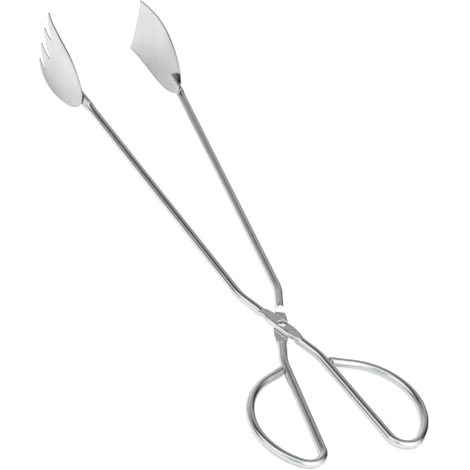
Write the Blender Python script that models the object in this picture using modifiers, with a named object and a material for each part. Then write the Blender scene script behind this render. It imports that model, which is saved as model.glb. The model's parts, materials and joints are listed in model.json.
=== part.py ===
"""Fish tongs: two bent wire arms that cross at a rivet, one with a fork head and one with a spatula head.

Lengths are in metres and +Z is up. The tongs lie as they do on a table, on the lower edges of both heads
and on the ends of both finger loops. X runs along the tongs, towards the heads.

Both arms are the same bar: the spatula's is turned over about X, so its pivot plate lies under the fork's.
Each arm is modelled around the rivet's axis, which is the origin of every object here.
"""
import math

import bmesh
import bpy
from mathutils import Vector

MM = 0.001

# The wire bar, seen from above, with the rivet at the origin
WIRE_D = 5.5 * MM
CROSS_ANGLE = math.radians(22.9)         # bar to centre line at the rivet
FRONT_PLATE_RUN = 28.3 * MM              # straight, from the rivet to the front bend
FRONT_BEND_R = 30.3 * MM
FRONT_ANGLE = math.radians(5.8)          # arm to centre line
FRONT_RUN = 194.7 * MM                   # straight, from the front bend to the wire's end
REAR_PLATE_RUN = 25.5 * MM
REAR_BEND_R = 35.8 * MM
SHANK_ANGLE = math.radians(7.9)          # inner side of the finger loop to centre line
SHANK_RUN = 67.4 * MM
LOOP_NOSE_R = 9.9 * MM                   # tight bend at the far end of the loop
LOOP_NOSE_ANGLE = math.radians(122.3)
LOOP_BOW_R = 39.4 * MM                   # wide outer side of the loop
LOOP_BOW_ANGLE = math.radians(117.3)

# Where the bar is pressed: the half-lapped pivot plate, and the flat under the head
PLATE_W = 8.5 * MM
PLATE_FULL_W_RUN = 12 * MM               # length that keeps the full width
PLATE_FLAT_RUN = 25.6 * MM               # length that is half as thick as the wire
PLATE_RAMP = 2.6 * MM                    # slope back to the round wire, each end
SEAT_W = 7.4 * MM                        # flat seat of the head, across
SEAT_T = 2.4 * MM
SEAT_RUN = 14 * MM
SEAT_RAMP = 4 * MM

# Heads: a leaf of sheet steel, dished both ways
SHEET_T = 1 * MM
HEAD_L = 66.5 * MM
HEAD_W = 40.4 * MM
HEAD_TIP_W = 38.6 * MM
HEAD_NECK_W = 3.6 * MM
HEAD_WIDEST_AT = 46 * MM                 # from the neck end
HEAD_LAP = 10 * MM                       # how far the head overlaps the wire's seat
HEAD_STRAIGHT = 27.5 * MM                # straight part of its centre line, from the neck end
HEAD_BELLY_R = 105 * MM                  # curve of the centre line beyond it, towards the other head
HEAD_CAMBER_R = 115 * MM                 # curve across the head
LEAF_ROUNDNESS = 0.6                     # exponent of the leaf's outline, 0.5 is an ellipse

# Fork tines
TINE_COUNT = 4
TINE_PITCH = 12.1 * MM
TINE_TIP_W = 3.2 * MM
SLOT_ROOT_W = 1.1 * MM
SLOT_DEPTH = 23 * MM                     # middle slot
OUTER_SLOT_DEPTH = 19.5 * MM

# Rivet
RIVET_SHANK_D = 3.6 * MM
RIVET_HEAD_D = 5.8 * MM
RIVET_HEAD_LIP = 0.3 * MM
RIVET_DOME_H = 0.9 * MM
RIVET_SET_H = 0.8 * MM
RIVET_SET_FACE_D = 3.2 * MM               # flat middle of the head below

# Welds and clearances
WELD_D = 4.2 * MM                        # core that joins the loop's end to the shank
WELD_ROOT = 1 * MM
WELD_REACH = 3 * MM
GAP = 0.3 * MM                           # between pieces that touch
CUT_OVERRUN = 3 * MM

# Mesh fineness, as counts, angles and lengths between rings
WIRE_SIDES = 16
BEND_STEP = math.radians(7.5)
PRESS_STEP = 1.3 * MM
HEAD_ROWS = 30
HEAD_COLUMNS = 16
ROUND_SIDES = 32
DOME_STEPS = 6
SLOT_ROOT_STEPS = 8
TIP_ROUND_STEPS = 5
ROW_CROWDING = 1.5                       # exponent that draws a head's rows towards its neck
SAME_RING = 0.05 * MM                    # rings of the bar closer than this are one
MERGE_DISTANCE = 0.001 * MM
SHARP_ANGLE = math.radians(40)           # edges above it are shaded sharp
TILT_PASSES = 6

WIRE_R = WIRE_D / 2
PLATE_T = WIRE_R - GAP / 2

STEEL_COLOR = (0.77, 0.78, 0.78, 1)
BRIGHT_STEEL_ROUGHNESS = 0.16
SATIN_STEEL_ROUGHNESS = 0.32


def clear_scene():
    for item in list(bpy.data.objects):
        bpy.data.objects.remove(item, do_unlink=True)


def new_collection(name):
    collection = bpy.data.collections.new(name)
    bpy.context.scene.collection.children.link(collection)
    return collection


def steel(name, roughness):
    material = bpy.data.materials.new(name)
    material.use_nodes = True
    shader = material.node_tree.nodes["Principled BSDF"]
    shader.inputs["Base Color"].default_value = STEEL_COLOR
    shader.inputs["Metallic"].default_value = 1
    shader.inputs["Roughness"].default_value = roughness
    return material


def new_empty(name, parent=None):
    empty = bpy.data.objects.new(name, None)
    empty.parent = parent
    PARTS.objects.link(empty)
    return empty


def new_part(name, mesh, parent, material):
    part = bpy.data.objects.new(name, mesh)
    part.parent = parent
    if not mesh.materials:
        mesh.materials.append(material)
    PARTS.objects.link(part)
    return part


def new_tool(name, data):
    tool = bpy.data.objects.new(name, data)
    tool.hide_render = True
    tool.display_type = "WIRE"
    TOOLS.objects.link(tool)
    return tool


def baked(tool):
    """The object's shape with its modifiers, as a welded mesh of its own."""
    bpy.context.view_layer.update()
    seen = tool.evaluated_get(bpy.context.evaluated_depsgraph_get())
    mesh = bpy.data.meshes.new_from_object(seen)
    mesh.transform(tool.matrix_world)
    work = bmesh.new()
    work.from_mesh(mesh)
    bmesh.ops.remove_doubles(work, verts=work.verts, dist=MERGE_DISTANCE)
    work.to_mesh(mesh)
    work.free()
    return mesh


def boolean(target, operation, tool):
    modifier = target.modifiers.new(tool.name, "BOOLEAN")
    modifier.operation = operation
    modifier.solver = "EXACT"
    modifier.object = tool


def cylinder_tool(name, radius, length):
    work = bmesh.new()
    bmesh.ops.create_cone(
        work, cap_ends=True, segments=ROUND_SIDES, radius1=radius, radius2=radius, depth=length)
    mesh = bpy.data.meshes.new(name)
    work.to_mesh(mesh)
    work.free()
    return new_tool(name, mesh)


def blend(low, high, share):
    return low + (high - low) * share


def eased(share):
    share = min(1, max(0, share))
    return share * share * (3 - 2 * share)


def follow(legs, heading, distance):
    """Point and heading at a distance along legs of (length, turn); a leg with no turn is straight."""
    point = Vector((0, 0, 0))
    for length, turn in legs:
        part = min(distance, length)
        if turn:
            radius = length / turn
            end = heading + part / radius
            point.x += radius * (math.sin(end) - math.sin(heading))
            point.y += radius * (math.cos(heading) - math.cos(end))
            heading = end
        else:
            point.x += part * math.cos(heading)
            point.y += part * math.sin(heading)
        distance -= part
        if distance <= 0:
            break
    return point, heading


def front_legs():
    turn = CROSS_ANGLE - FRONT_ANGLE
    return [(FRONT_PLATE_RUN, 0), (FRONT_BEND_R * turn, -turn), (FRONT_RUN, 0)]


def rear_legs():
    """From the rivet round the finger loop; the last straight run brings the wire back to the shank."""
    turn = CROSS_ANGLE - SHANK_ANGLE
    arrival = LOOP_NOSE_ANGLE + LOOP_BOW_ANGLE
    nose_out = LOOP_NOSE_R * (1 - math.cos(LOOP_NOSE_ANGLE))
    bow_out = LOOP_BOW_R * (math.cos(LOOP_NOSE_ANGLE) - math.cos(arrival))
    end_out = WIRE_R + GAP + WIRE_R * abs(math.cos(arrival))
    closing_run = (nose_out + bow_out - end_out) / -math.sin(arrival)
    return [
        (REAR_PLATE_RUN, 0),
        (REAR_BEND_R * turn, -turn),
        (SHANK_RUN, 0),
        (LOOP_NOSE_R * LOOP_NOSE_ANGLE, LOOP_NOSE_ANGLE),
        (LOOP_BOW_R * LOOP_BOW_ANGLE, LOOP_BOW_ANGLE),
        (closing_run, 0),
    ]


def total(legs):
    return sum(length for length, turn in legs)


def on_bar(distance):
    """Point and heading along the bar; positive distances run from the rivet to the head."""
    if distance >= 0:
        return follow(front_legs(), CROSS_ANGLE, distance)
    point, heading = follow(rear_legs(), CROSS_ANGLE + math.pi, -distance)
    return point, heading + math.pi


def bend_marks(legs):
    """Distances of the rings that a bar's legs need: their ends, and steps round each bend."""
    marks = []
    start = 0
    for length, turn in legs:
        steps = max(1, math.ceil(abs(turn) / BEND_STEP))
        marks += [start + length * step / steps for step in range(1, steps + 1)]
        start += length
    return marks


def even_marks(low, high):
    steps = math.ceil((high - low) / PRESS_STEP)
    return [blend(low, high, step / steps) for step in range(steps + 1)]


def bar_marks():
    ramp_foot = PLATE_FLAT_RUN / 2
    ramp_top = ramp_foot + PLATE_RAMP
    front_end = total(front_legs())
    seat_foot = front_end - SEAT_RUN
    marks = [-mark for mark in bend_marks(rear_legs())] + bend_marks(front_legs())
    marks += even_marks(-ramp_top, -ramp_foot) + even_marks(-ramp_foot, ramp_foot)
    marks += even_marks(ramp_foot, ramp_top)
    marks += even_marks(seat_foot - SEAT_RAMP, seat_foot) + [front_end]
    kept = []
    for mark in sorted(marks):
        if not kept or mark - kept[-1] > SAME_RING:
            kept.append(mark)
    return kept


def pressed(flat_way, wide_way, amount):
    """A point of the unit circle moved towards a flattened section with barrel sides."""
    power = 1 / (1 + amount)
    flat_way = math.copysign(abs(flat_way) ** power, flat_way)
    wide_way = math.copysign(abs(wide_way) ** power, wide_way)
    flat_limit = math.cos(2 * math.pi / WIRE_SIDES) ** power
    reach = blend(1, flat_limit, amount)
    return max(-1, min(1, flat_way / reach)), wide_way


def bar_section(distance, side, up):
    """Where a point of the round wire lies once the bar is pressed, as offsets sideways and up."""
    ramp_foot = PLATE_FLAT_RUN / 2
    plate = min(1, max(0, (ramp_foot + PLATE_RAMP - abs(distance)) / PLATE_RAMP))
    seat = min(1, max(0, (distance - total(front_legs()) + SEAT_RUN + SEAT_RAMP) / SEAT_RAMP))
    if plate:
        narrowing = (abs(distance) - PLATE_FULL_W_RUN / 2) / (ramp_foot + PLATE_RAMP - PLATE_FULL_W_RUN / 2)
        half_w = blend(PLATE_W / 2, WIRE_R, eased(narrowing))
        half_t = blend(WIRE_R, PLATE_T / 2, plate)
        up, side = pressed(up, side, plate)
        return side * half_w, WIRE_R - half_t + up * half_t
    if seat:
        side, up = pressed(side, up, seat)
        return side * blend(WIRE_R, SEAT_T / 2, eased(seat)), up * blend(WIRE_R, SEAT_W / 2, eased(seat))
    return side * WIRE_R, up * WIRE_R


def bar_mesh():
    """The bent wire, pressed at the rivet and under the head, drilled, with its loop welded shut."""
    marks = bar_marks()
    curve = bpy.data.curves.new("bar", "CURVE")
    curve.dimensions = "3D"
    curve.twist_mode = "Z_UP"
    curve.bevel_depth = WIRE_R
    curve.bevel_resolution = (WIRE_SIDES - 4) // 2
    curve.use_fill_caps = True
    spline = curve.splines.new("POLY")
    spline.points.add(len(marks) - 1)
    for point, mark in zip(spline.points, marks):
        point.co = (*on_bar(mark)[0], 1)
    wire = new_tool("wire", curve)
    mesh = baked(wire)
    bpy.data.objects.remove(wire)
    stations = [(mark, *on_bar(mark)) for mark in marks]
    for vertex in mesh.vertices:
        mark, centre, heading = min(stations, key=lambda station: (station[1] - vertex.co).length)
        sideways = Vector((-math.sin(heading), math.cos(heading), 0))
        off = vertex.co - centre
        side, up = bar_section(mark, off.dot(sideways) / WIRE_R, off.z / WIRE_R)
        vertex.co = centre + sideways * side + Vector((0, 0, up))
    bar = new_tool("pressed_bar", mesh)
    hole = cylinder_tool("rivet_hole", RIVET_SHANK_D / 2 + GAP, WIRE_D + CUT_OVERRUN)
    boolean(bar, "DIFFERENCE", hole)
    weld = cylinder_tool("loop_weld", WELD_D / 2, WELD_ROOT + WELD_REACH)
    end, heading = on_bar(-total(rear_legs()))
    inward = Vector((-math.cos(heading), -math.sin(heading), 0))
    weld.location = end + inward * (WELD_REACH - WELD_ROOT) / 2
    weld.rotation_euler = inward.to_track_quat("Z", "Y").to_euler()
    boolean(bar, "UNION", weld)
    return baked(bar)


def leaf_half_width(along):
    """Half the width of a head's outline at a distance from its neck end."""
    if along < HEAD_WIDEST_AT:
        share = (HEAD_WIDEST_AT - along) / HEAD_WIDEST_AT
        return blend(HEAD_NECK_W, HEAD_W, (1 - share ** 2) ** LEAF_ROUNDNESS) / 2
    share = (along - HEAD_WIDEST_AT) / (HEAD_L - HEAD_WIDEST_AT)
    return blend(HEAD_W, HEAD_TIP_W, share ** 2) / 2


def head_blank(name):
    """A flat leaf of sheet in the XY plane, from the neck end at X = 0 to the tip."""
    work = bmesh.new()
    bmesh.ops.create_grid(work, x_segments=HEAD_ROWS, y_segments=HEAD_COLUMNS, size=1)
    for vertex in work.verts:
        along = HEAD_L * ((vertex.co.x + 1) / 2) ** ROW_CROWDING
        vertex.co = Vector((along, vertex.co.y * leaf_half_width(along), 0))
    mesh = bpy.data.meshes.new(name)
    work.to_mesh(mesh)
    work.free()
    blank = new_tool(name, mesh)
    sheet = blank.modifiers.new("sheet", "SOLIDIFY")
    sheet.thickness = SHEET_T
    sheet.offset = 0
    return blank


def slot_outline(depth):
    """Half of a tapering slot from its round root to its mouth, where it rounds the tines' tips."""
    root_r = SLOT_ROOT_W / 2
    tip_r = TINE_TIP_W / 2
    mouth_half = TINE_PITCH / 2 - tip_r
    root_x = HEAD_L - depth + root_r
    tip_x = HEAD_L - tip_r
    points = []
    for step in range(SLOT_ROOT_STEPS + 1):
        angle = math.pi / 2 * step / SLOT_ROOT_STEPS
        points.append((root_x - root_r * math.cos(angle), root_r * math.sin(angle)))
    for step in range(TIP_ROUND_STEPS + 1):
        angle = math.pi / 2 * step / TIP_ROUND_STEPS
        points.append((tip_x + tip_r * math.sin(angle), mouth_half + tip_r * (1 - math.cos(angle))))
    points.append((HEAD_L + CUT_OVERRUN, mouth_half + tip_r))
    return points


def slot_tool(name, across, depth):
    half = slot_outline(depth)
    outline = half + [(along, -out) for along, out in reversed(half[1:])]
    curve = bpy.data.curves.new(name, "CURVE")
    curve.dimensions = "2D"
    curve.fill_mode = "BOTH"
    curve.extrude = SHEET_T + CUT_OVERRUN
    spline = curve.splines.new("POLY")
    spline.points.add(len(outline) - 1)
    for point, (along, out) in zip(spline.points, outline):
        point.co = (along, across + out, 0, 1)
    spline.use_cyclic_u = True
    flat = new_tool(name + "_outline", curve)
    tool = new_tool(name, baked(flat))
    bpy.data.objects.remove(flat)
    return tool


def dished(mesh):
    """Bends a flat blank: its centre line curves in the plan, and its edges curve the same way."""
    work = bmesh.new()
    work.from_mesh(mesh)
    bmesh.ops.triangulate(work, faces=work.faces)
    belly_turn = (HEAD_L - HEAD_STRAIGHT) / HEAD_BELLY_R
    legs = [(HEAD_STRAIGHT, 0), (HEAD_BELLY_R * belly_turn, -belly_turn)]
    for vertex in work.verts:
        along, across, level = vertex.co
        centre, heading = follow(legs, 0, along)
        outward = Vector((-math.sin(heading), math.cos(heading), 0))
        sag = HEAD_CAMBER_R - math.sqrt(HEAD_CAMBER_R ** 2 - across ** 2)
        vertex.co = centre + outward * (level - sag) - Vector((0, 0, across))
    work.to_mesh(mesh)
    work.free()
    return mesh


def spatula_mesh():
    return dished(baked(head_blank("spatula_blank")))


def fork_mesh():
    blank = head_blank("fork_blank")
    middle = TINE_COUNT / 2
    for number in range(TINE_COUNT + 1):
        depth = SLOT_DEPTH if number == middle else OUTER_SLOT_DEPTH
        tool = slot_tool(f"slot_{number}", (number - middle) * TINE_PITCH, depth)
        boolean(blank, "DIFFERENCE", tool)
    return dished(baked(blank))


def rivet_profile():
    """Down the outer side, from the top of the domed head to the flat face of the set head."""
    head_r = RIVET_HEAD_D / 2
    shank_r = RIVET_SHANK_D / 2
    seat_z = WIRE_R + GAP
    points = []
    for step in range(DOME_STEPS + 1):
        angle = math.pi / 2 * step / DOME_STEPS
        points.append((head_r * math.sin(angle), seat_z + RIVET_HEAD_LIP + RIVET_DOME_H * math.cos(angle)))
    points += [(head_r, seat_z), (shank_r, seat_z), (shank_r, -seat_z), (head_r, -seat_z)]
    points.append((head_r, -seat_z - RIVET_HEAD_LIP))
    face_z = -seat_z - RIVET_HEAD_LIP - RIVET_SET_H
    points += [(RIVET_SET_FACE_D / 2, face_z), (0, face_z)]
    return points


def rivet_mesh():
    points = rivet_profile()
    mesh = bpy.data.meshes.new("rivet_profile")
    edges = [(number, number + 1) for number in range(len(points) - 1)]
    mesh.from_pydata([(out, 0, level) for out, level in points], edges, [])
    profile = new_tool("rivet_profile", mesh)
    screw = profile.modifiers.new("turned", "SCREW")
    screw.angle = 2 * math.pi
    screw.steps = ROUND_SIDES
    screw.render_steps = ROUND_SIDES
    screw.use_merge_vertices = True
    screw.merge_threshold = MERGE_DISTANCE
    return baked(profile)


def smooth(mesh):
    mesh.shade_smooth()
    mesh.set_sharp_from_angle(angle=SHARP_ANGLE)
    return mesh


def seat_head(head):
    """Puts a head on the outer flat of its arm's seat, in line with the arm."""
    lap_start = total(front_legs()) - HEAD_LAP
    place, heading = on_bar(lap_start)
    outward = Vector((-math.sin(heading), math.cos(heading), 0))
    head.location = place + outward * (SEAT_T / 2 + GAP + SHEET_T / 2)
    head.rotation_euler = (0, 0, heading)


def world_points(parts):
    bpy.context.view_layer.update()
    return [part.matrix_world @ vertex.co for part in parts for vertex in part.data.vertices]


def lay_down(pose, parts):
    """Tilts and moves the tongs so that heads and loops rest on Z = 0, centred over the origin."""
    points = world_points(parts)
    heads = [point for point in points if point.x > 0]
    loops = [point for point in points if point.x < 0]
    tilt = 0
    for _ in range(TILT_PASSES):
        height = Vector((math.sin(tilt), 0, math.cos(tilt)))
        low_head = min(heads, key=height.dot)
        low_loop = min(loops, key=height.dot)
        tilt = math.atan2(low_loop.z - low_head.z, low_head.x - low_loop.x)
    pose.rotation_euler = (0, -tilt, 0)
    points = world_points(parts)
    pose.location = (
        -(min(point.x for point in points) + max(point.x for point in points)) / 2,
        -(min(point.y for point in points) + max(point.y for point in points)) / 2,
        -min(point.z for point in points),
    )


clear_scene()
PARTS = new_collection("fish_tongs")
TOOLS = new_collection("shaping_tools")

bright_steel = steel("bright_steel", BRIGHT_STEEL_ROUGHNESS)
satin_steel = steel("satin_steel", SATIN_STEEL_ROUGHNESS)

lying_pose = new_empty("lying_pose")
fork_side = new_empty("fork_side", lying_pose)
spatula_side = new_empty("spatula_side", lying_pose)
spatula_side.rotation_euler = (math.pi, 0, 0)

bar = smooth(bar_mesh())
fork_arm = new_part("fork_arm", bar, fork_side, bright_steel)
spatula_arm = new_part("spatula_arm", bar, spatula_side, bright_steel)

fork_head = new_part("fork_head", smooth(fork_mesh()), fork_side, satin_steel)
spatula_head = new_part("spatula_head", smooth(spatula_mesh()), spatula_side, satin_steel)
seat_head(fork_head)
seat_head(spatula_head)

pivot_rivet = new_part("pivot_rivet", smooth(rivet_mesh()), lying_pose, bright_steel)

lay_down(lying_pose, [fork_arm, spatula_arm, fork_head, spatula_head, pivot_rivet])
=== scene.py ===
"""Fish tongs of polished steel wire with satin sheet heads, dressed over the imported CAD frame.

Lengths are in metres and +Z is up. Each arm is built around the rivet's axis, as it is used, and is
then placed by the frame's own hinge: X runs from the rivet towards the heads and Z along the rivet.
"""
import json
import math

import bmesh
import bpy
from mathutils import Matrix, Vector, noise


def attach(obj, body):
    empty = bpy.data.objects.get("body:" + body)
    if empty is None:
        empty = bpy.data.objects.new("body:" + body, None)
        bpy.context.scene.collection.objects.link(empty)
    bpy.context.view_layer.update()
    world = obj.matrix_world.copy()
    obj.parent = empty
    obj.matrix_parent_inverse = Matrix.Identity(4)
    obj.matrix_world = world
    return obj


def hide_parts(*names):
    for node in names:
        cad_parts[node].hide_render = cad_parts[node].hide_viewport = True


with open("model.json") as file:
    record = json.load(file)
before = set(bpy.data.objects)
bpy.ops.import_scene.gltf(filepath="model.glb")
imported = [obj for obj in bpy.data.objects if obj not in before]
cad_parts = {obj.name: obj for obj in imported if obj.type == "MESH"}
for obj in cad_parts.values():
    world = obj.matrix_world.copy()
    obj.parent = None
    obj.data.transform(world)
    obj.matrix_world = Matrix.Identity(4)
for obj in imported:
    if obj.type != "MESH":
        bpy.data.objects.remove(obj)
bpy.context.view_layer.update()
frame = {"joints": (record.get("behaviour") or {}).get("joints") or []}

MM = 0.001
MAP_NAME = "surface_map"

# The wire bar, as the frame's arms have it: forward from the rivet, then back to the loop
WIRE_D = 5.5 * MM
CROSS_ANGLE = math.radians(22.9)
FRONT_PLATE_RUN = 28.3 * MM
FRONT_BEND_R = 30.3 * MM
FRONT_ANGLE = math.radians(5.8)
FRONT_RUN = 194.7 * MM
REAR_PLATE_RUN = 25.5 * MM
REAR_BEND_R = 35.8 * MM
SHANK_ANGLE = math.radians(7.9)
SHANK_RUN = 67.4 * MM
LOOP_NOSE_R = 9.9 * MM
LOOP_NOSE_ANGLE = math.radians(122.3)
LOOP_BOW_R = 39.4 * MM
LOOP_BOW_ANGLE = math.radians(117.3)
GAP = 0.3 * MM                           # that the frame leaves between its solids

# Pivot plate and head seat, pressed from the bar
PLATE_W = 8.5 * MM
PLATE_FULL_W_RUN = 12 * MM
PLATE_FLAT_RUN = 25.6 * MM
PLATE_RAMP = 2.6 * MM
SEAT_W = 7.4 * MM
SEAT_T = 2.4 * MM
SEAT_RUN = 14 * MM
SEAT_RAMP = 4 * MM
SEAT_SEAM = 0.05 * MM                    # between the head and its seat
SEAT_END_PRESS = 0.65                    # how far the wire's end is pressed; 1 is the seat's waist
SEAT_SHADE_RUN = 10 * MM                # over which painted shade on the seat grows, towards the wire's end
PRESS_EDGE_ANGLE = math.radians(32)      # of the round wire, from the middle of a flat to its edge
LOOP_END_R = 0.7 * MM                    # filed edges of the wire's two cut ends
SEAT_END_R = 0.3 * MM

# Heads
SHEET_T = 1 * MM
SHEET_EDGE_R = 0.3 * MM
HEAD_L = 66.5 * MM
HEAD_W = 40.4 * MM
HEAD_TIP_W = 38.6 * MM
HEAD_NECK_W = 3.6 * MM
HEAD_WIDEST_AT = 46 * MM
HEAD_LAP = 10 * MM
HEAD_STRAIGHT = 27.5 * MM
HEAD_BELLY_R = 97 * MM
HEAD_EDGE_SAG = 1.8 * MM                 # how far the edges curve in, at the widest place
HEAD_TIP_SAG_SHARE = 0.7                 # how much of that curve is left at the tip
HEAD_EDGE_POWER = 3.4                    # 2 is an even curve; more keeps the middle flatter
LEAF_ROUNDNESS = 0.6                     # 0.5 is an ellipse; more is more pointed at the neck
LEAF_RIM_SHADE_AND_POLISH = 1 * MM                  # how far in from the leaf's edge its rim is painted darker, as painted reflection, and polished smoother
TINE_COUNT = 4
TINE_PITCH = 12.1 * MM
TINE_TIP_W = 3.7 * MM
SLOT_ROOT_W = 1.3 * MM
SLOT_DEPTH = 23 * MM
OUTER_SLOT_DEPTH = 19.5 * MM

# Rivet
RIVET_HEAD_D = 5.8 * MM
RIVET_HEAD_LIP = 0.15 * MM
RIVET_LIP_R = 0.12 * MM
RIVET_DOME_H = 1.05 * MM
RIVET_SHANK_D = 3.6 * MM
RIVET_SET_H = 0.8 * MM
RIVET_SET_FACE_D = 3.2 * MM

# Welds
LOOP_WELD_D = 3.4 * MM
LOOP_WELD_RUN = 3.4 * MM
LOOP_WELD_WAIST = 0.9                    # of its diameter, half way along
SEAT_WELD_D = 1 * MM
SEAT_WELD_RUN = 7 * MM
SEAT_WELD_TAPER = 0.04                   # of its run, cut off where it would end in a point
BEAD_LUMP = 0.16                         # of a bead's radius, that its lumps stand out or in
BEAD_LUMP_SIZE = 1.1 * MM
CORNER_SHADE_FADE = 1.6 * MM                   # over which the painted shade in the corner above the seat fades
CORNER_SHADE_SLANT = 1.25                      # how fast it draws back to the neck away from the seat

# Mesh fineness
WIRE_SIDES = 48
BEND_STEP = math.radians(2.5)
RUN_STEP = 12 * MM
PRESS_STEP = 0.45 * MM
SHEET_CELL = 1.1 * MM
EDGE_STEP = 0.7 * MM
NECK_CROWDING = 1.5                      # 1 spaces edge points evenly; more, closer at the neck
ROUND_STEPS = 10
RIVET_SIDES = 64
BEAD_SIDES = 20
LOOP_WELD_STEPS = 12
SEAT_WELD_STEPS = 24
CLOSEST_MARKS = PRESS_STEP / 4
CLOSEST_POINTS = MM / 1000
HALVINGS = 30                            # in which a meeting point of two edges is found
SHARP_ABOVE = math.radians(35)

WIRE_R = WIRE_D / 2
PLATE_T = WIRE_R - GAP / 2

# Camera, as the photograph was taken, in the tongs' own directions from the rivet
FRAME_PX = 470
FOCAL_PX = 3394.7
SENSOR_W = 36
CAMERA_AT = Vector((-1.214988, 0.873505, 1.287107))
CAMERA_RIGHT = Vector((-0.418186, -0.888777, 0.187606))
CAMERA_UP = Vector((0.645658, -0.145560, 0.749626))

# Studio light: azimuth from +X, elevation, half angle and softness in degrees, and strength, where
# white is 1. The last one is the shade of the camera's stand.
STUDIO_DIM = 0.03
SOFT_LIGHTS = [
    (-167, 40, 50, 22, 1.2),
    (90, 42, 29, 10, 1.1),
    (-28, 26, 20, 22, 0.5),
    (15, 0, 43, 6, 0.45),
    (113, -37, 51, 8, 1.0),
    (121, 46, 12, 4, -1.2),
]

# Floor: what it gives off by itself, as the camera and as the metal see it
FLOOR_HALF = 4
FLOOR_CELLS = 8
FLOOR_GLOW = 0.6
FLOOR_GLOW_MIRRORED = 0.53
FLOOR_SHADE_REACH = 30 * MM              # over which a piece on it shades the mirrored glow
FLOOR_SHADE_POWER = 1.8

# Base colours; those of the metals run from their darker to their lighter clouds
WHITE = (1, 1, 1, 1)
FLOOR_TONE = (0.82, 0.82, 0.82, 1)
WIRE_TONES = (0.62, 0.63, 0.64, 1), (0.79, 0.795, 0.80, 1)
SHEET_TONES = (0.63, 0.635, 0.63, 1), (0.71, 0.715, 0.71, 1)
RIVET_TONES = (0.66, 0.67, 0.68, 1), (0.76, 0.765, 0.77, 1)
WELD_TONES = (0.40, 0.40, 0.40, 1), (0.52, 0.52, 0.52, 1)
# Painted shade: the wire darkens to this along the seat, where it lies against the head
SEAT_SHADE_WIRE_TONE = (0.54, 0.54, 0.54, 1)
# Painted reflection: the leaf's rim is painted darker, for the dark that its edge mirrors
SHEET_RIM_SHADE_TONE = (0.43, 0.43, 0.43, 1)
# Painted shade: the corner of the leaf beside the seat is painted near black
CORNER_SHADE_SHEET_TONE = (0.04, 0.04, 0.04, 1)


def blend(low, high, share):
    return low + (high - low) * share


def eased(share):
    share = min(1, max(0, share))
    return share * share * (3 - 2 * share)


def follow(legs, heading, distance):
    """Point and heading at a distance along legs of (length, turn); no turn is straight."""
    point = Vector((0, 0, 0))
    for length, turn in legs:
        part = min(distance, length)
        if turn:
            radius = length / turn
            end = heading + part / radius
            point.x += radius * (math.sin(end) - math.sin(heading))
            point.y += radius * (math.cos(heading) - math.cos(end))
            heading = end
        else:
            point.x += part * math.cos(heading)
            point.y += part * math.sin(heading)
        distance -= part
        if distance <= 0:
            break
    return point, heading


def front_legs():
    turn = CROSS_ANGLE - FRONT_ANGLE
    return [(FRONT_PLATE_RUN, 0), (FRONT_BEND_R * turn, -turn), (FRONT_RUN, 0)]


def rear_legs():
    """From the rivet round the finger loop; the last leg brings the wire back to the shank."""
    turn = CROSS_ANGLE - SHANK_ANGLE
    arrival = LOOP_NOSE_ANGLE + LOOP_BOW_ANGLE
    nose_out = LOOP_NOSE_R * (1 - math.cos(LOOP_NOSE_ANGLE))
    bow_out = LOOP_BOW_R * (math.cos(LOOP_NOSE_ANGLE) - math.cos(arrival))
    end_out = WIRE_R + GAP + WIRE_R * abs(math.cos(arrival))
    closing_run = (nose_out + bow_out - end_out) / -math.sin(arrival)
    return [
        (REAR_PLATE_RUN, 0),
        (REAR_BEND_R * turn, -turn),
        (SHANK_RUN, 0),
        (LOOP_NOSE_R * LOOP_NOSE_ANGLE, LOOP_NOSE_ANGLE),
        (LOOP_BOW_R * LOOP_BOW_ANGLE, LOOP_BOW_ANGLE),
        (closing_run, 0),
    ]


def total(legs):
    return sum(length for length, turn in legs)


def on_bar(distance):
    """Point and heading along the bar; positive distances run from the rivet to the head."""
    if distance >= 0:
        return follow(front_legs(), CROSS_ANGLE, distance)
    point, heading = follow(rear_legs(), CROSS_ANGLE + math.pi, -distance)
    return point, heading + math.pi


def sideways_of(heading):
    return Vector((-math.sin(heading), math.cos(heading), 0))


def even_marks(low, high, step):
    steps = max(1, math.ceil((high - low) / step))
    return [blend(low, high, number / steps) for number in range(steps + 1)]


def leg_marks(legs):
    marks = []
    start = 0
    for length, turn in legs:
        step = length * BEND_STEP / abs(turn) if turn else RUN_STEP
        marks += even_marks(start, start + length, step)
        start += length
    return marks


def bar_marks():
    """Distances along the bar of the rings of its mesh."""
    ramp_top = PLATE_FLAT_RUN / 2 + PLATE_RAMP
    front_end = total(front_legs())
    marks = [-mark for mark in leg_marks(rear_legs())] + leg_marks(front_legs())
    marks += even_marks(-ramp_top, ramp_top, PRESS_STEP)
    marks += even_marks(front_end - SEAT_RUN - SEAT_RAMP, front_end, PRESS_STEP)
    kept = []
    for mark in sorted(marks):
        if not kept or mark - kept[-1] > CLOSEST_MARKS:
            kept.append(mark)
    return kept


def pressed(flat_way, wide_way, amount):
    """A point of the unit circle moved towards a flattened section with barrel sides."""
    power = 1 / (1 + amount)
    flat_way = math.copysign(abs(flat_way) ** power, flat_way)
    wide_way = math.copysign(abs(wide_way) ** power, wide_way)
    reach = blend(1, math.cos(PRESS_EDGE_ANGLE) ** power, amount)
    return max(-1, min(1, flat_way / reach)), wide_way


def press_amounts(distance):
    """How far the bar is pressed at a distance, from 0 to 1: at the pivot plate and at the seat."""
    plate = (PLATE_FLAT_RUN / 2 + PLATE_RAMP - abs(distance)) / PLATE_RAMP
    seat = (distance - total(front_legs()) + SEAT_RUN + SEAT_RAMP) / SEAT_RAMP
    return min(1, max(0, plate)), min(1, max(0, seat))


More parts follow.
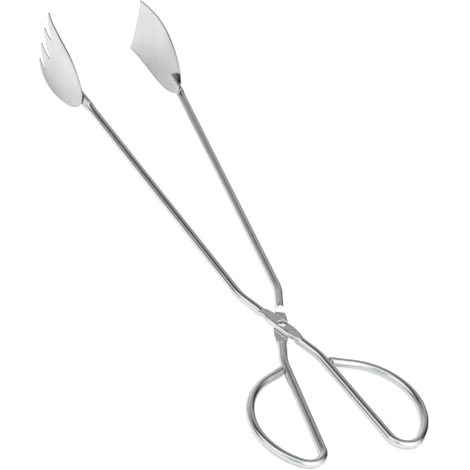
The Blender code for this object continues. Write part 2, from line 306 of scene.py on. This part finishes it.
def bar_section(distance, side, up):
    """Where a point of the round wire lies once the bar is pressed, as offsets sideways and up."""
    plate, seat = press_amounts(distance)
    if plate:
        full_w = PLATE_FULL_W_RUN / 2
        narrowing = (abs(distance) - full_w) / (PLATE_FLAT_RUN / 2 + PLATE_RAMP - full_w)
        half_w = blend(PLATE_W / 2, WIRE_R, eased(narrowing))
        cut_level = blend(-WIRE_R, WIRE_R - PLATE_T, plate)
        up, side = pressed(up, side, plate)
        return side * half_w, max(cut_level, up * WIRE_R)
    if seat:
        waist = seat * blend(SEAT_END_PRESS, 1, min(1, (total(front_legs()) - distance) / SEAT_RUN))
        side, up = pressed(side, up, waist)
        back = blend(WIRE_R, SEAT_T / 2, eased(waist))
        face = blend(WIRE_R, SEAT_T / 2 + GAP - SEAT_SEAM, eased(seat))
        side *= max(back, face) if side > 0 else back
        return min(side, face), up * blend(WIRE_R, SEAT_W / 2, eased(waist))
    return side * WIRE_R, up * WIRE_R


def bar_ring(distance, inset=0, beyond=0):
    """Points round the bar, drawn in by an inset and moved past the mark where an end is rounded.

    The loop's end is mitred, so that it faces the shank squarely.
    """
    centre, heading = on_bar(distance)
    ahead = Vector((math.cos(heading), math.sin(heading), 0))
    sideways = sideways_of(heading)
    mitre = 0
    if distance == -total(rear_legs()):
        mitre = abs(1 / math.tan(LOOP_NOSE_ANGLE + LOOP_BOW_ANGLE))
    ring = []
    for number in range(WIRE_SIDES):
        angle = 2 * math.pi * number / WIRE_SIDES
        side, up = bar_section(distance, math.cos(angle), math.sin(angle))
        offset = sideways * side + Vector((0, 0, up))
        offset *= 1 - inset / offset.length
        ring.append(centre + offset + ahead * (beyond - mitre * (offset.dot(sideways) + WIRE_R)))
    return ring


def end_rings(distance, edge_r, outward):
    """Rings that round the edge of a cut end; outward is 1 at the front end and -1 at the rear."""
    rings = [(distance, 0, -outward * edge_r)]
    for step in range(1, ROUND_STEPS // 2 + 1):
        angle = math.pi / 2 * step / (ROUND_STEPS // 2)
        inset = edge_r * (1 - math.cos(angle))
        rings.append((distance, inset, outward * edge_r * (math.sin(angle) - 1)))
    return rings


def ring_faces(work, ring, next_ring):
    """Faces between two rings of points; a ring may be one point repeated."""
    faces = []
    for number, point in enumerate(ring):
        after = (number + 1) % len(ring)
        corners = (point, ring[after], next_ring[after], next_ring[number])
        faces.append(work.faces.new(list(dict.fromkeys(corners))))
    return faces


def close_ends(work, rings):
    work.faces.new(rings[0][::-1])
    work.faces.new(rings[-1])


def map_flat(work):
    """Maps every face so far by the X and Y of its points, in metres."""
    chart = work.loops.layers.uv.new(MAP_NAME)
    for face in work.faces:
        for loop in face.loops:
            loop[chart].uv = loop.vert.co.xy


def written(work, mesh):
    """The mesh with the work written into it, its faces turned outwards."""
    bmesh.ops.recalc_face_normals(work, faces=work.faces)
    work.to_mesh(mesh)
    work.free()
    return mesh


def bar_mesh(name):
    """The bar as rings of quads; its map gives metres along the bar and round it."""
    marks = bar_marks()
    low, high = marks[0], marks[-1]
    rows = end_rings(low, LOOP_END_R, -1)[::-1]
    rows += [(mark, 0, 0) for mark in marks if low + LOOP_END_R < mark < high - SEAT_END_R]
    rows += end_rings(high, SEAT_END_R, 1)
    work = bmesh.new()
    press = work.verts.layers.float.new("press")
    painted_seat_shade = work.verts.layers.float.new("painted_seat_shade")
    rings = [[work.verts.new(point) for point in bar_ring(*row)] for row in rows]
    for row, ring in zip(rows, rings):
        for vertex in ring:
            vertex[press] = max(press_amounts(row[0]))
            # Painted shade, growing towards the wire's end along the seat
            vertex[painted_seat_shade] = eased((row[0] - high + SEAT_RUN + SEAT_RAMP) / SEAT_SHADE_RUN)
    chart = work.loops.layers.uv.new(MAP_NAME)
    for row, ring, next_row, next_ring in zip(rows, rings, rows[1:], rings[1:]):
        for number, face in enumerate(ring_faces(work, ring, next_ring)):
            places = [(row, number), (row, number + 1), (next_row, number + 1), (next_row, number)]
            for loop, (at, turn) in zip(face.loops, places):
                loop[chart].uv = (at[0] + at[2], WIRE_D * math.pi * turn / WIRE_SIDES)
    close_ends(work, rings)
    return written(work, bpy.data.meshes.new(name))


def leaf_half_width(along):
    """Half the width of a head's outline at a distance from its neck end."""
    if along < HEAD_WIDEST_AT:
        share = (HEAD_WIDEST_AT - along) / HEAD_WIDEST_AT
        return blend(HEAD_NECK_W, HEAD_W, (1 - share ** 2) ** LEAF_ROUNDNESS) / 2
    share = (along - HEAD_WIDEST_AT) / (HEAD_L - HEAD_WIDEST_AT)
    return blend(HEAD_W, HEAD_TIP_W, share ** 2) / 2


def leaf_edge(low, high):
    """Points of the leaf's upper edge, closer together at the neck, where it turns fast."""
    steps = math.ceil((high - low) / EDGE_STEP)
    alongs = [blend(low, high, (step / steps) ** NECK_CROWDING) for step in range(steps + 1)]
    return [(along, leaf_half_width(along)) for along in alongs]


def spatula_outline():
    upper = leaf_edge(0, HEAD_L)
    return upper + [(along, -across) for along, across in reversed(upper)]


def slot_side(depth):
    """One side of a slot, from its round root to the middle of the tine's tip beside it."""
    root_r = SLOT_ROOT_W / 2
    tip_r = TINE_TIP_W / 2
    mouth_half = TINE_PITCH / 2 - tip_r
    root_x = HEAD_L - depth + root_r
    tip_x = HEAD_L - tip_r
    points = []
    for step in range(ROUND_STEPS + 1):
        angle = math.pi / 2 * step / ROUND_STEPS
        points.append((root_x - root_r * math.cos(angle), root_r * math.sin(angle)))
    for step in range(ROUND_STEPS + 1):
        angle = math.pi / 2 * step / ROUND_STEPS
        out = mouth_half + tip_r * (1 - math.cos(angle))
        points.append((tip_x + tip_r * math.sin(angle), out))
    return points


def outer_tine_edge():
    """From the neck along the leaf's edge and then the outermost half slot, to a tine's tip."""
    centre = TINE_PITCH * TINE_COUNT / 2
    slot = [(along, centre - out) for along, out in slot_side(OUTER_SLOT_DEPTH)]
    cut = [point for point in slot if point[1] < leaf_half_width(min(point[0], HEAD_L))]
    root, first = slot[ROUND_STEPS], cut[0]
    low, high = 0, 1
    for _ in range(HALVINGS):
        share = (low + high) / 2
        along = blend(root[0], first[0], share)
        if blend(root[1], first[1], share) < leaf_half_width(along):
            high = share
        else:
            low = share
    meeting = blend(root[0], first[0], high)
    return leaf_edge(0, meeting) + cut


def fork_outline():
    outline = outer_tine_edge()
    for number in range(1, TINE_COUNT):
        centre = TINE_PITCH * (TINE_COUNT / 2 - number)
        side = slot_side(SLOT_DEPTH if number == TINE_COUNT / 2 else OUTER_SLOT_DEPTH)
        outline += [(along, centre + out) for along, out in reversed(side[:-1])]
        outline += [(along, centre - out) for along, out in side[1:]]
    return outline + [(along, -across) for along, across in reversed(outer_tine_edge()[:-1])]


def dish_point(along, across, level):
    """Where a point of the flat blank lies once the head is dished, its neck end at the origin."""
    belly_turn = (HEAD_L - HEAD_STRAIGHT) / HEAD_BELLY_R
    legs = [(HEAD_STRAIGHT, 0), (HEAD_BELLY_R * belly_turn, -belly_turn)]
    centre, heading = follow(legs, 0, along)
    tipward = eased((along - HEAD_STRAIGHT) / (HEAD_L - HEAD_STRAIGHT))
    sag = HEAD_EDGE_SAG * blend(1, HEAD_TIP_SAG_SHARE, tipward)
    sag *= abs(2 * across / HEAD_W) ** HEAD_EDGE_POWER
    return centre + sideways_of(heading) * (level - sag) - Vector((0, 0, across))


def seat_place():
    """Puts a head on the outer flat of its arm's seat, in line with the arm."""
    place, heading = on_bar(total(front_legs()) - HEAD_LAP)
    place += sideways_of(heading) * (SEAT_T / 2 + GAP + SHEET_T / 2)
    return Matrix.Translation(place) @ Matrix.Rotation(heading, 4, "Z")


def sliced(work, axis, low, high):
    """Cuts a flat mesh along even lines, so that it can bend."""
    for mark in even_marks(low, high, SHEET_CELL)[1:-1]:
        point = Vector((0, 0, 0))
        point[axis] = mark
        normal = Vector((0, 0, 0))
        normal[axis] = 1
        geometry = work.verts[:] + work.edges[:] + work.faces[:]
        bmesh.ops.bisect_plane(work, geom=geometry, plane_co=point, plane_no=normal)


def painted_corner_shade(along, across, level):
    """How far painted shade darkens the head's inner face beside the seat; across is positive above
    the seat.
    """
    if level > 0 or across < 0:
        return 0
    drawn_back = CORNER_SHADE_SLANT * max(0, across - SEAT_W / 2)
    return eased((HEAD_LAP - along - drawn_back) / CORNER_SHADE_FADE)


def blank_mesh(name, outline):
    """The flat sheet inside an outline, with rounded edges."""
    curve = bpy.data.curves.new(name + "_blank", "CURVE")
    curve.dimensions = "2D"
    curve.fill_mode = "BOTH"
    curve.extrude = SHEET_T / 2 - SHEET_EDGE_R
    curve.bevel_depth = SHEET_EDGE_R
    curve.bevel_resolution = 3
    curve.offset = -SHEET_EDGE_R
    spline = curve.splines.new("POLY")
    spline.points.add(len(outline) - 1)
    for point, (along, across) in zip(spline.points, outline):
        point.co = (along, across, 0, 1)
    spline.use_cyclic_u = True
    blank = bpy.data.objects.new(curve.name, curve)
    bpy.context.scene.collection.objects.link(blank)
    bpy.context.view_layer.update()
    seen = blank.evaluated_get(bpy.context.evaluated_depsgraph_get())
    mesh = bpy.data.meshes.new_from_object(seen)
    mesh.name = name
    bpy.data.objects.remove(blank)
    return mesh


def head_mesh(name, outline, upper):
    """The blank, dished; its map gives metres along the blank and across it.

    The side of the blank that lies above the seat is given as 1 or -1.
    """
    mesh = blank_mesh(name, outline)
    work = bmesh.new()
    work.from_mesh(mesh)
    bmesh.ops.remove_doubles(work, verts=work.verts, dist=CLOSEST_POINTS)
    sliced(work, 0, 0, HEAD_L)
    sliced(work, 1, -HEAD_W / 2, HEAD_W / 2)
    for layer in work.loops.layers.uv[:]:
        work.loops.layers.uv.remove(layer)
    map_flat(work)
    rim = work.verts.layers.float.new("rim")
    painted_seat_shade = work.verts.layers.float.new("painted_seat_shade")
    for vertex in work.verts:
        along, across, level = vertex.co
        # The rim: painted darker as painted reflection, and polished smoother
        wall = 1 - eased((abs(level) - SHEET_T / 2 + SHEET_EDGE_R) / SHEET_EDGE_R)
        inward = leaf_half_width(min(HEAD_L, max(0, along))) - SHEET_EDGE_R - abs(across)
        vertex[rim] = max(wall, 1 - max(0, inward) / LEAF_RIM_SHADE_AND_POLISH, 0)
        # Painted shade in the corner beside the seat
        vertex[painted_seat_shade] = painted_corner_shade(along, upper * across, level)
        vertex.co = dish_point(along, across, level)
    return written(work, mesh)


def rivet_profile():
    """Down the outer side, from the top of the domed head to the flat face of the set head."""
    head_r = RIVET_HEAD_D / 2
    shank_r = RIVET_SHANK_D / 2
    seat_z = WIRE_R + RIVET_LIP_R / 2
    lip_top = seat_z + RIVET_HEAD_LIP
    edge_angle = 2 * math.atan(RIVET_DOME_H / head_r)
    cap_r = head_r / math.sin(edge_angle)
    points = []
    for step in range(ROUND_STEPS * 2):
        angle = edge_angle * step / (ROUND_STEPS * 2)
        drop = cap_r * (1 - math.cos(angle))
        points.append((cap_r * math.sin(angle), lip_top + RIVET_DOME_H - drop))
    points += [(head_r, lip_top), (head_r, seat_z + RIVET_LIP_R), (head_r - RIVET_LIP_R, seat_z)]
    points += [(shank_r, seat_z), (shank_r, -seat_z)]
    points += [(head_r - RIVET_LIP_R, -seat_z), (head_r, -seat_z - RIVET_LIP_R)]
    points += [(head_r, -lip_top)]
    face_z = -lip_top - RIVET_SET_H
    face_r = RIVET_SET_FACE_D / 2
    for step in range(1, ROUND_STEPS):
        share = step / ROUND_STEPS
        points.append((blend(head_r, face_r, share), blend(-lip_top, face_z, eased(share))))
    points += [(face_r, face_z), (0, face_z)]
    return points


def turned_mesh(name, profile, sides):
    """A profile of (out, level) turned about Z, closed where it meets the axis."""
    turns = [2 * math.pi * number / sides for number in range(sides)]
    work = bmesh.new()
    rings = []
    for out, level in profile:
        if out == 0:
            rings.append([work.verts.new((0, 0, level))] * sides)
            continue
        points = [(out * math.cos(turn), out * math.sin(turn), level) for turn in turns]
        rings.append([work.verts.new(point) for point in points])
    for ring, next_ring in zip(rings, rings[1:]):
        ring_faces(work, ring, next_ring)
    map_flat(work)
    return written(work, bpy.data.meshes.new(name))


def bead_mesh(name, path, radii, seed):
    """A weld bead: a lumpy tube along a path, with a radius for each of its points."""
    work = bmesh.new()
    rings = []
    for number, (centre, radius) in enumerate(zip(path, radii)):
        ahead = (path[min(number + 1, len(path) - 1)] - path[max(number - 1, 0)]).normalized()
        across = ahead.orthogonal().normalized()
        over = ahead.cross(across)
        ring = []
        for side in range(BEAD_SIDES):
            angle = 2 * math.pi * side / BEAD_SIDES
            way = across * math.cos(angle) + over * math.sin(angle)
            spot = (centre + way * radius) / BEAD_LUMP_SIZE + Vector((seed, 0, 0))
            lump = 1 + BEAD_LUMP * noise.noise(spot)
            ring.append(work.verts.new(centre + way * radius * lump))
        rings.append(ring)
    for ring, next_ring in zip(rings, rings[1:]):
        ring_faces(work, ring, next_ring)
    map_flat(work)
    close_ends(work, rings)
    return written(work, bpy.data.meshes.new(name))


def loop_weld_mesh(name, seed):
    """The bead in the wedge between the loop's cut end and the shank."""
    end, heading = on_bar(-total(rear_legs()))
    inward = Vector((-math.cos(heading), -math.sin(heading), 0))
    path = []
    radii = []
    for step in range(LOOP_WELD_STEPS + 1):
        share = step / LOOP_WELD_STEPS
        path.append(end + inward * blend(-LOOP_END_R, LOOP_WELD_RUN, share))
        radii.append(LOOP_WELD_D / 2 * blend(LOOP_WELD_WAIST, 1, abs(2 * share - 1)))
    return bead_mesh(name, path, radii, seed)


def seat_weld_mesh(name, edge, seed):
    """A fillet bead along one edge of the seat, on the head's inner face; edge is 1 or -1."""
    path = []
    radii = []
    for step in range(SEAT_WELD_STEPS + 1):
        share = step / SEAT_WELD_STEPS
        along = HEAD_LAP - SEAT_WELD_RUN * share
        path.append(seat_place() @ dish_point(along, edge * SEAT_W / 2, -SHEET_T / 2 - GAP))
        taper = math.sin(math.pi * blend(SEAT_WELD_TAPER, 1 - SEAT_WELD_TAPER, share))
        radii.append(SEAT_WELD_D / 2 * taper ** 0.5)
    return bead_mesh(name, path, radii, seed)


def add_node(tree, kind, settings, inputs):
    """A node with properties and inputs set; an input given as a socket is linked."""
    node = tree.nodes.new(kind)
    for key, value in settings.items():
        setattr(node, key, value)
    for key, value in inputs.items():
        if isinstance(value, bpy.types.NodeSocket):
            tree.links.new(value, node.inputs[key])
        else:
            node.inputs[key].default_value = value
    return node


def new_material(name, metallic):
    material = bpy.data.materials.new(name)
    material.use_nodes = True
    shader = material.node_tree.nodes["Principled BSDF"]
    shader.inputs["Metallic"].default_value = metallic
    return material, material.node_tree, shader


def mapped(tree, scale):
    """The surface map in metres, stretched by a scale for each way."""
    chart = add_node(tree, "ShaderNodeUVMap", {"uv_map": MAP_NAME}, {}).outputs["UV"]
    node = add_node(tree, "ShaderNodeMapping", {}, {"Vector": chart, "Scale": scale})
    return node.outputs["Vector"]


def noise_of(tree, vector, scale, detail=3):
    node = add_node(
        tree, "ShaderNodeTexNoise", {},
        {"Vector": vector, "Scale": scale, "Detail": detail, "Roughness": 0.6})
    return node.outputs["Fac"]


def ranged(tree, value, low, high, from_low=0.3, from_high=0.7):
    """A value stretched onto another range; most of a noise lies between 0.3 and 0.7."""
    node = add_node(
        tree, "ShaderNodeMapRange", {},
        {"Value": value, "From Min": from_low, "From Max": from_high,
         "To Min": low, "To Max": high})
    return node.outputs["Result"]


def maths(tree, operation, first, second):
    node = add_node(tree, "ShaderNodeMath", {"operation": operation}, {0: first, 1: second})
    return node.outputs["Value"]


def mixed(tree, share, first, second):
    """The first colour at a share of 0, the second at 1."""
    node = add_node(
        tree, "ShaderNodeMix", {"data_type": "RGBA"}, {"Factor": share, "A": first, "B": second})
    return node.outputs["Result"]


def painted(tree, name):
    """What a mesh stores under a name for each of its points."""
    return add_node(tree, "ShaderNodeAttribute", {"attribute_name": name}, {}).outputs["Fac"]


def bumped(tree, height, distance, strength, normal=None):
    inputs = {"Height": height, "Distance": distance, "Strength": strength}
    if normal:
        inputs["Normal"] = normal
    return add_node(tree, "ShaderNodeBump", {}, inputs).outputs["Normal"]


def object_vector(tree):
    return add_node(tree, "ShaderNodeTexCoord", {}, {}).outputs["Object"]


def set_finish(tree, shader, color, rough, normal):
    for key, socket in (("Base Color", color), ("Roughness", rough), ("Normal", normal)):
        tree.links.new(socket, shader.inputs[key])


def polished_wire_material():
    """Bright drawn wire: fine marks along the bar, faint clouding, hairline scratches and scuffs.

    The pressed flats are scuffed and smeared, and painted shade darkens the wire along the seat,
    towards its end.
    """
    material, tree, shader = new_material("polished_wire", 1)
    press = painted(tree, "press")
    drawn = noise_of(tree, mapped(tree, (28, 5200, 1)), 1, 4)
    streak = noise_of(tree, mapped(tree, (22, 900, 1)), 1)
    smear = noise_of(tree, mapped(tree, (260, 700, 1)), 1, 4)
    cloud = noise_of(tree, object_vector(tree), 160)
    hairline = noise_of(tree, mapped(tree, (420, 2600, 1)), 1, 2)
    scratch = ranged(tree, hairline, 0, 1, 0.7, 0.74)
    tone = maths(tree, "ADD", ranged(tree, cloud, 0, 0.4), ranged(tree, streak, 0, 0.6))
    # Painted shade: the wire darkens along the seat, where it lies against the head
    seat_shade_share = maths(tree, "MULTIPLY", painted(tree, "painted_seat_shade"), ranged(tree, cloud, 0.75, 0.95))
    color = mixed(tree, seat_shade_share, mixed(tree, tone, *WIRE_TONES), SEAT_SHADE_WIRE_TONE)
    scuff = maths(tree, "MULTIPLY", ranged(tree, smear, 0, 1, 0.42, 0.68), press)
    rough = maths(tree, "ADD", ranged(tree, cloud, 0.1, 0.17), ranged(tree, drawn, 0, 0.05))
    rough = maths(tree, "ADD", rough, maths(tree, "MULTIPLY", scratch, 0.12))
    rough = maths(tree, "ADD", rough, maths(tree, "MULTIPLY", scuff, 0.16))
    relief = maths(tree, "SUBTRACT", drawn, maths(tree, "MULTIPLY", scratch, 0.5))
    normal = bumped(tree, relief, 0.02 * MM, 0.35)
    normal = bumped(tree, maths(tree, "MULTIPLY", smear, press), 0.4 * MM, 0.6, normal)
    set_finish(tree, shader, color, rough, normal)
    return material


def satin_sheet_material():
    """Satin sheet: fine grain along the blank, soft clouding, and a smoother rim painted darker as
    painted reflection of its edge.

    Painted shade darkens the corner beside the seat to near black.
    """
    material, tree, shader = new_material("satin_sheet", 1)
    grain = noise_of(tree, mapped(tree, (90, 4200, 1)), 1, 4)
    cloud = noise_of(tree, object_vector(tree), 70)
    hairline = noise_of(tree, mapped(tree, (300, 1500, 1)), 1, 2)
    scratch = ranged(tree, hairline, 0, 1, 0.71, 0.75)
    rim = painted(tree, "rim")
    clouded = maths(tree, "ADD", cloud, maths(tree, "MULTIPLY", grain, 0.3))
    color = mixed(tree, ranged(tree, clouded, 0, 1, 0.45, 0.85), *SHEET_TONES)
    # Painted reflection: the rim is painted darker, for the dark that its edge mirrors
    color = mixed(tree, maths(tree, "MULTIPLY", rim, 0.8), color, SHEET_RIM_SHADE_TONE)
    # Painted shade: the corner beside the seat is painted near black
    corner_shade_share = maths(tree, "MULTIPLY", painted(tree, "painted_seat_shade"), ranged(tree, cloud, 0.85, 0.97))
    color = mixed(tree, corner_shade_share, color, CORNER_SHADE_SHEET_TONE)
    rough = maths(tree, "ADD", ranged(tree, cloud, 0.3, 0.38), ranged(tree, grain, -0.03, 0.05))
    rough = maths(tree, "SUBTRACT", rough, maths(tree, "MULTIPLY", rim, 0.12))
    relief = maths(tree, "SUBTRACT", grain, maths(tree, "MULTIPLY", scratch, 0.6))
    set_finish(tree, shader, color, rough, bumped(tree, relief, 0.02 * MM, 0.4))
    return material


def rivet_material():
    """Rivet steel: faint clouding, and small dents from setting it."""
    material, tree, shader = new_material("rivet_steel", 1)
    body = object_vector(tree)
    dents = noise_of(tree, body, 900, 2)
    cloud = noise_of(tree, body, 300)
    color = mixed(tree, ranged(tree, cloud, 0, 1), *RIVET_TONES)
    rough = ranged(tree, cloud, 0.1, 0.2)
    set_finish(tree, shader, color, rough, bumped(tree, dents, 0.06 * MM, 0.5))
    return material


def weld_material():
    """Weld metal left as it froze, dressed lightly: rippled and a little duller than the wire."""
    material, tree, shader = new_material("weld_bead", 1)
    ripple = noise_of(tree, object_vector(tree), 1600)
    color = mixed(tree, ranged(tree, ripple, 0, 1), *WELD_TONES)
    rough = ranged(tree, ripple, 0.28, 0.42)
    set_finish(tree, shader, color, rough, bumped(tree, ripple, 0.05 * MM, 0.6))
    return material


def floor_material():
    """Matt white that the camera and the metal see as about white wherever no shadow falls."""
    material, tree, shader = new_material("white_floor", 0)
    shader.inputs["Roughness"].default_value = 1
    shader.inputs["Specular IOR Level"].default_value = 0
    shader.inputs["Base Color"].default_value = FLOOR_TONE
    shader.inputs["Emission Color"].default_value = WHITE
    rays = add_node(tree, "ShaderNodeLightPath", {}, {}).outputs
    open_sky = add_node(
        tree, "ShaderNodeAmbientOcclusion", {"samples": 8}, {"Distance": FLOOR_SHADE_REACH})
    open_sky = maths(tree, "POWER", open_sky.outputs["AO"], FLOOR_SHADE_POWER)
    mirrored = maths(tree, "MAXIMUM", rays["Is Glossy Ray"], rays["Is Transmission Ray"])
    mirrored = maths(tree, "MULTIPLY", mirrored, open_sky)
    glow = maths(tree, "MULTIPLY", rays["Is Camera Ray"], FLOOR_GLOW)
    glow = maths(tree, "ADD", glow, maths(tree, "MULTIPLY", mirrored, FLOOR_GLOW_MIRRORED))
    tree.links.new(glow, shader.inputs["Emission Strength"])
    return material


def new_piece(name, mesh, material, place, body):
    mesh.transform(place)
    mesh.shade_smooth()
    mesh.set_sharp_from_angle(angle=SHARP_ABOVE)
    mesh.materials.clear()
    mesh.materials.append(material)
    piece = bpy.data.objects.new(name, mesh)
    bpy.context.scene.collection.objects.link(piece)
    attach(piece, body)
    return piece


def set_camera(tongs_place):
    data = bpy.data.cameras.new("camera")
    data.sensor_width = SENSOR_W
    data.lens = FOCAL_PX / FRAME_PX * SENSOR_W
    data.clip_end = 20
    camera = bpy.data.objects.new("camera", data)
    back = CAMERA_RIGHT.cross(CAMERA_UP).normalized()
    turn = Matrix((CAMERA_RIGHT, CAMERA_UP, back)).transposed().to_4x4()
    camera.matrix_world = tongs_place @ Matrix.Translation(CAMERA_AT) @ turn
    bpy.context.scene.collection.objects.link(camera)
    bpy.context.scene.camera = camera


def set_floor():
    work = bmesh.new()
    bmesh.ops.create_grid(work, x_segments=FLOOR_CELLS, y_segments=FLOOR_CELLS, size=FLOOR_HALF)
    mesh = bpy.data.meshes.new("floor")
    work.to_mesh(mesh)
    work.free()
    mesh.materials.append(floor_material())
    floor = bpy.data.objects.new("floor", mesh)
    bpy.context.scene.collection.objects.link(floor)


def way_to(azimuth, elevation):
    """Direction at an azimuth from +X and an elevation, in degrees."""
    azimuth, elevation = math.radians(azimuth), math.radians(elevation)
    level = math.cos(elevation)
    return Vector((math.cos(azimuth) * level, math.sin(azimuth) * level, math.sin(elevation)))


def set_world():
    """A dim studio with large soft lights; the camera sees plain white beyond the floor."""
    world = bpy.data.worlds.new("studio")
    world.use_nodes = True
    tree = world.node_tree
    background = tree.nodes["Background"]
    background.inputs["Color"].default_value = WHITE
    ray = add_node(tree, "ShaderNodeTexCoord", {}, {}).outputs["Generated"]
    level = STUDIO_DIM
    for azimuth, elevation, half_angle, softness, strength in SOFT_LIGHTS:
        facing = add_node(
            tree, "ShaderNodeVectorMath", {"operation": "DOT_PRODUCT"},
            {0: ray, 1: way_to(azimuth, elevation)})
        edge, full = (math.cos(math.radians(half_angle + sign * softness)) for sign in (1, -1))
        glow = add_node(
            tree, "ShaderNodeMapRange", {"interpolation_type": "SMOOTHSTEP"},
            {"Value": facing.outputs["Value"], "From Min": edge, "From Max": full,
             "To Max": strength})
        level = maths(tree, "ADD", glow.outputs["Result"], level)
    level = maths(tree, "MAXIMUM", level, STUDIO_DIM)
    rays = add_node(tree, "ShaderNodeLightPath", {}, {}).outputs
    level = maths(tree, "MAXIMUM", level, rays["Is Camera Ray"])
    tree.links.new(level, background.inputs["Strength"])
    bpy.context.scene.world = world


def add_softbox(name, azimuth, elevation, distance, width, height, radiance):
    """An area lamp facing the tongs, whose reflection is as bright as its radiance."""
    way = way_to(azimuth, elevation)
    data = bpy.data.lights.new(name, "AREA")
    data.shape = "RECTANGLE"
    data.size = width
    data.size_y = height
    data.energy = radiance * math.pi * width * height
    lamp = bpy.data.objects.new(name, data)
    lamp.location = way * distance
    lamp.rotation_euler = way.to_track_quat("Z", "Y").to_euler()
    lamp.visible_camera = False
    bpy.context.scene.collection.objects.link(lamp)


hinge = frame["joints"][0]
tongs_place = Matrix.Translation(hinge["pos_m"]) @ Matrix.Rotation(
    math.atan2(hinge["axis"][0], hinge["axis"][2]), 4, "Y")
turned_over = Matrix.Rotation(math.pi, 4, "X")

polished_wire = polished_wire_material()
satin_sheet = satin_sheet_material()
rivet_steel = rivet_material()
weld_bead = weld_material()

sides = {"fork": tongs_place, "spatula": tongs_place @ turned_over}
outlines = {"fork": fork_outline(), "spatula": spatula_outline()}
# Which side of a blank lies above the seat: across runs down, unless the arm is turned over
uppers = {"fork": -1, "spatula": 1}
for number, (side, place) in enumerate(sides.items()):
    body = side + "_side"
    mesh = bar_mesh(side + "_bar")
    bar = new_piece(side + "_bar", mesh, polished_wire, place, body)
    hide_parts(side + "_arm")
    mesh = head_mesh(side + "_leaf", outlines[side], uppers[side])
    leaf = new_piece(side + "_leaf", mesh, satin_sheet, place @ seat_place(), body)
    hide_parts(side + "_head")
    weld = side + "_loop_weld"
    new_piece(weld, loop_weld_mesh(weld, number), weld_bead, place, body)
    for edge_name, edge in (("upper", uppers[side]), ("lower", -uppers[side])):
        weld = f"{side}_seat_weld_{edge_name}"
        mesh = seat_weld_mesh(weld, edge, number + edge / 3)
        new_piece(weld, mesh, weld_bead, place, body)

mesh = turned_mesh("rivet", rivet_profile(), RIVET_SIDES)
rivet = new_piece("rivet", mesh, rivet_steel, tongs_place, "spatula_side")
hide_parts("pivot_rivet")

set_camera(tongs_place)
set_floor()
set_world()
add_softbox("key", azimuth=190, elevation=45, distance=2.6, width=1.8, height=1.8, radiance=0.5)

bpy.context.scene.view_settings.view_transform = "Standard"
